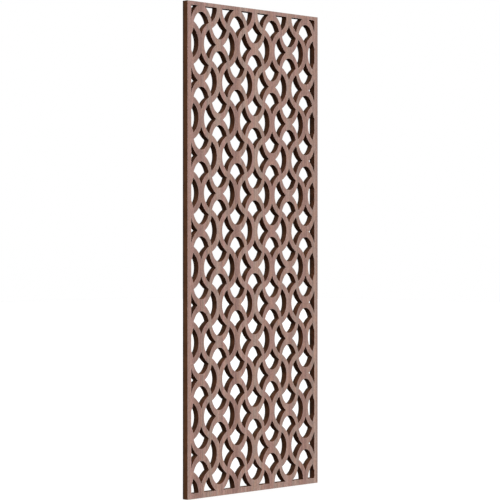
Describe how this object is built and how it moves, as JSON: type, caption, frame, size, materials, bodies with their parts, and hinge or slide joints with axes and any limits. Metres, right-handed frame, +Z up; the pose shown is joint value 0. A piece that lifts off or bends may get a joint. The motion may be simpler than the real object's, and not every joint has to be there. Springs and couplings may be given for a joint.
{
  "type": "fretwork wall panel",
  "caption": "Tall flat wooden wall panel cut through in a lattice of curved, interlaced strands inside a narrow plain border.",
  "frame": {"origin": "on the board's back, behind the crossing of strands nearest the board's middle", "axes": "+Z up along the board's height, +X along its width to the right seen from the front, +Y out of its back towards the wall"},
  "size_m": [0.6952, 0.0254, 1.8129],
  "materials": {
    "wood": "satin stained wood with a fine upright grain, darker on the cut walls and edges"
  },
  "bodies": {
    "root": {"panel": "wood"}
  },
  "joints": []
}
